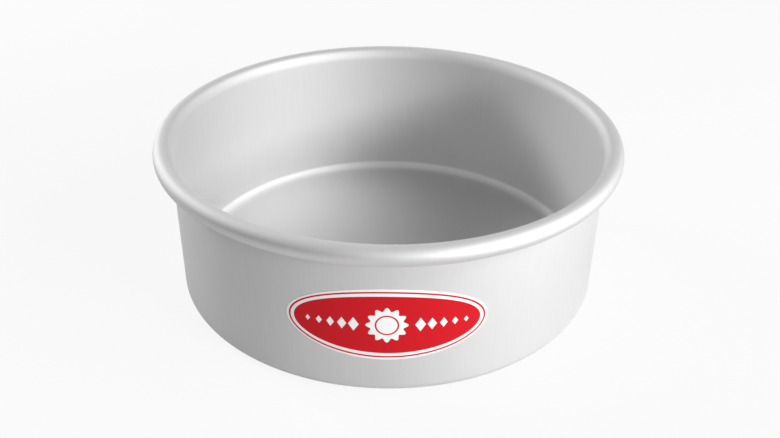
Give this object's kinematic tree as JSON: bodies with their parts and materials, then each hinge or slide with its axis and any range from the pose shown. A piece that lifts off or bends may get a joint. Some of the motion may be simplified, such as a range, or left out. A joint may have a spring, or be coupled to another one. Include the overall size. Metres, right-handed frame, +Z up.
{
  "type": "round cake tin",
  "caption": "Straight-sided round baking tin with a fixed flat base, a rim rolled outwards and an oval label on its wall, for deep cakes.",
  "frame": {"origin": "middle of the flat underside, on the tin's axis, where it stands", "axes": "+Z up along the tin's axis, out of the mouth; -Y to the front, where the label is; +X to the right as the label is faced"},
  "size_m": [0.2208, 0.2208, 0.0762],
  "materials": {
    "anodised_aluminium": "natural anodised, fine satin with a soft sheen",
    "printed_label": "smooth semi-gloss film, red with a white border"
  },
  "bodies": {
    "root": {"pan_body": "anodised_aluminium", "oval_label": "printed_label"}
  },
  "joints": []
}
